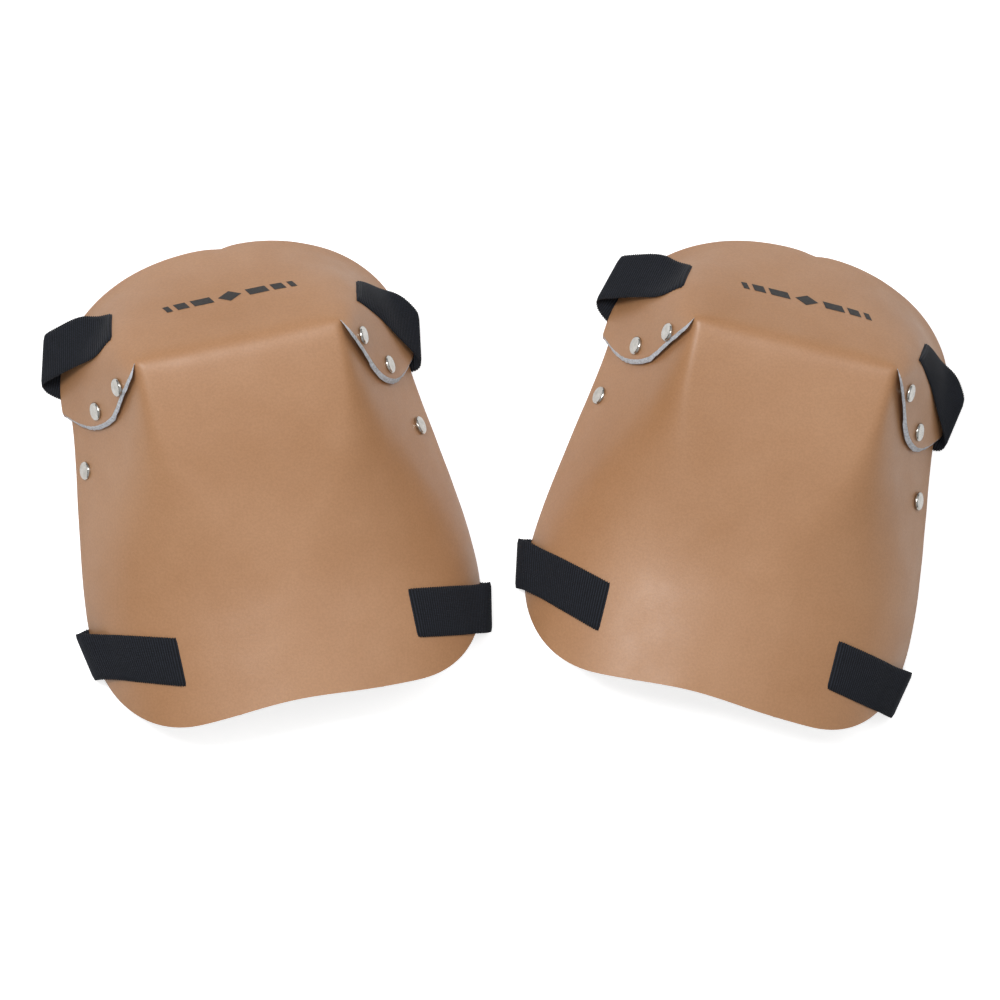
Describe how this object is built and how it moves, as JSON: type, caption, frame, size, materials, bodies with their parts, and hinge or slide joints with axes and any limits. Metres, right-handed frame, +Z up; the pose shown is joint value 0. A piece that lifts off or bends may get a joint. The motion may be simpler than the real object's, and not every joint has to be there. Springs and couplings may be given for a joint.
{
  "type": "pair of knee guards",
  "caption": "Formed leather knee guards with felt lining, riveted corners and two webbing straps each, closed by side-release buckles.",
  "frame": {"origin": "centre of the pair's bounding box, on the surface that the open sides lie on", "axes": "+X from the left guard to the right guard, +Y towards the crowns, +Z up from the open side towards the front panels"},
  "size_m": [0.4663, 0.2444, 0.074],
  "materials": {
    "leather": "smooth vegetable-tanned tan leather, satin, with darker burnished edges",
    "felt": "thick grey wool felt",
    "webbing": "black ribbed polypropylene webbing",
    "nickel": "bright nickel-plated steel",
    "buckle_plastic": "black moulded acetal, satin"
  },
  "bodies": {
    "left_guard": {"left_leather_shell": "leather", "left_felt_pad": "felt", "left_ear_rivet_caps": "nickel", "left_ear_rivet_backs": "nickel", "left_side_rivet_caps": "nickel", "left_side_rivet_backs": "nickel", "left_lower_strap": "webbing", "left_lower_strap_tail": "webbing", "left_upper_strap": "webbing", "left_upper_strap_tail": "webbing", "left_upper_buckle_socket": "buckle_plastic", "left_lower_buckle_socket": "buckle_plastic"},
    "left_upper_plug": {"left_upper_buckle_plug": "buckle_plastic"},
    "left_upper_arm_a": {"left_upper_plug_arm_a": "buckle_plastic"},
    "left_upper_arm_b": {"left_upper_plug_arm_b": "buckle_plastic"},
    "left_lower_plug": {"left_lower_buckle_plug": "buckle_plastic"},
    "left_lower_arm_a": {"left_lower_plug_arm_a": "buckle_plastic"},
    "left_lower_arm_b": {"left_lower_plug_arm_b": "buckle_plastic"},
    "right_guard": {"right_leather_shell": "leather", "right_felt_pad": "felt", "right_ear_rivet_caps": "nickel", "right_ear_rivet_backs": "nickel", "right_side_rivet_caps": "nickel", "right_side_rivet_backs": "nickel", "right_lower_strap": "webbing", "right_lower_strap_tail": "webbing", "right_upper_strap": "webbing", "right_upper_strap_tail": "webbing", "right_upper_buckle_socket": "buckle_plastic", "right_lower_buckle_socket": "buckle_plastic"},
    "right_upper_plug": {"right_upper_buckle_plug": "buckle_plastic"},
    "right_upper_arm_a": {"right_upper_plug_arm_a": "buckle_plastic"},
    "right_upper_arm_b": {"right_upper_plug_arm_b": "buckle_plastic"},
    "right_lower_plug": {"right_lower_buckle_plug": "buckle_plastic"},
    "right_lower_arm_a": {"right_lower_plug_arm_a": "buckle_plastic"},
    "right_lower_arm_b": {"right_lower_plug_arm_b": "buckle_plastic"}
  },
  "joints": [
    {"name": "guards_apart", "type": "slide", "parent": "left_guard", "child": "right_guard", "axis": [1, 0, 0], "range_m": [0, 0.15]},
    {"name": "left_upper_plug_slide", "type": "slide", "parent": "left_guard", "child": "left_upper_plug", "axis": [0.9781, 0.2079, 0], "range_m": [0, 0.03], "deforming": ["left_upper_strap_tail", "left_upper_plug_arm_a", "left_upper_plug_arm_b"]},
    {"name": "left_upper_arm_a_squeeze", "type": "hinge", "parent": "left_upper_plug", "child": "left_upper_arm_a", "pos_m": [-0.13449, 0.06056, 0.0045], "axis": [0, 0, 1], "range_deg": [0, 12], "stiffness_Nm_per_rad": 0.4},
    {"name": "left_upper_arm_b_squeeze", "type": "hinge", "parent": "left_upper_plug", "child": "left_upper_arm_b", "pos_m": [-0.13054, 0.04197, 0.0045], "axis": [0, 0, -1], "range_deg": [0, 12], "stiffness_Nm_per_rad": 0.4},
    {"name": "left_lower_plug_slide", "type": "slide", "parent": "left_guard", "child": "left_lower_plug", "axis": [0.9781, 0.2079, 0], "range_m": [0, 0.03], "deforming": ["left_lower_strap_tail", "left_lower_plug_arm_a", "left_lower_plug_arm_b"]},
    {"name": "left_lower_arm_a_squeeze", "type": "hinge", "parent": "left_lower_plug", "child": "left_lower_arm_a", "pos_m": [-0.10746, -0.0666, 0.0045], "axis": [0, 0, 1], "range_deg": [0, 12], "stiffness_Nm_per_rad": 0.4},
    {"name": "left_lower_arm_b_squeeze", "type": "hinge", "parent": "left_lower_plug", "child": "left_lower_arm_b", "pos_m": [-0.10351, -0.08519, 0.0045], "axis": [0, 0, -1], "range_deg": [0, 12], "stiffness_Nm_per_rad": 0.4},
    {"name": "right_upper_plug_slide", "type": "slide", "parent": "right_guard", "child": "right_upper_plug", "axis": [0.9703, -0.2419, 0], "range_m": [0, 0.03], "deforming": ["right_upper_strap_tail", "right_upper_plug_arm_a", "right_upper_plug_arm_b"]},
    {"name": "right_upper_arm_a_squeeze", "type": "hinge", "parent": "right_upper_plug", "child": "right_upper_arm_a", "pos_m": [0.13818, 0.06007, 0.0045], "axis": [0, 0, 1], "range_deg": [0, 12], "stiffness_Nm_per_rad": 0.4},
    {"name": "right_upper_arm_b_squeeze", "type": "hinge", "parent": "right_upper_plug", "child": "right_upper_arm_b", "pos_m": [0.13358, 0.04164, 0.0045], "axis": [0, 0, -1], "range_deg": [0, 12], "stiffness_Nm_per_rad": 0.4},
    {"name": "right_lower_plug_slide", "type": "slide", "parent": "right_guard", "child": "right_lower_plug", "axis": [0.9703, -0.2419, 0], "range_m": [0, 0.03], "deforming": ["right_lower_strap_tail", "right_lower_plug_arm_a", "right_lower_plug_arm_b"]},
    {"name": "right_lower_arm_a_squeeze", "type": "hinge", "parent": "right_lower_plug", "child": "right_lower_arm_a", "pos_m": [0.10673, -0.06606, 0.0045], "axis": [0, 0, 1], "range_deg": [0, 12], "stiffness_Nm_per_rad": 0.4},
    {"name": "right_lower_arm_b_squeeze", "type": "hinge", "parent": "right_lower_plug", "child": "right_lower_arm_b", "pos_m": [0.10213, -0.0845, 0.0045], "axis": [0, 0, -1], "range_deg": [0, 12], "stiffness_Nm_per_rad": 0.4}
  ],
  "couplings": [
    {"joint": "left_upper_arm_b_squeeze", "follows": "left_upper_arm_a_squeeze", "ratio": 1},
    {"joint": "left_lower_arm_b_squeeze", "follows": "left_lower_arm_a_squeeze", "ratio": 1},
    {"joint": "right_upper_arm_b_squeeze", "follows": "right_upper_arm_a_squeeze", "ratio": 1},
    {"joint": "right_lower_arm_b_squeeze", "follows": "right_lower_arm_a_squeeze", "ratio": 1}
  ]
}
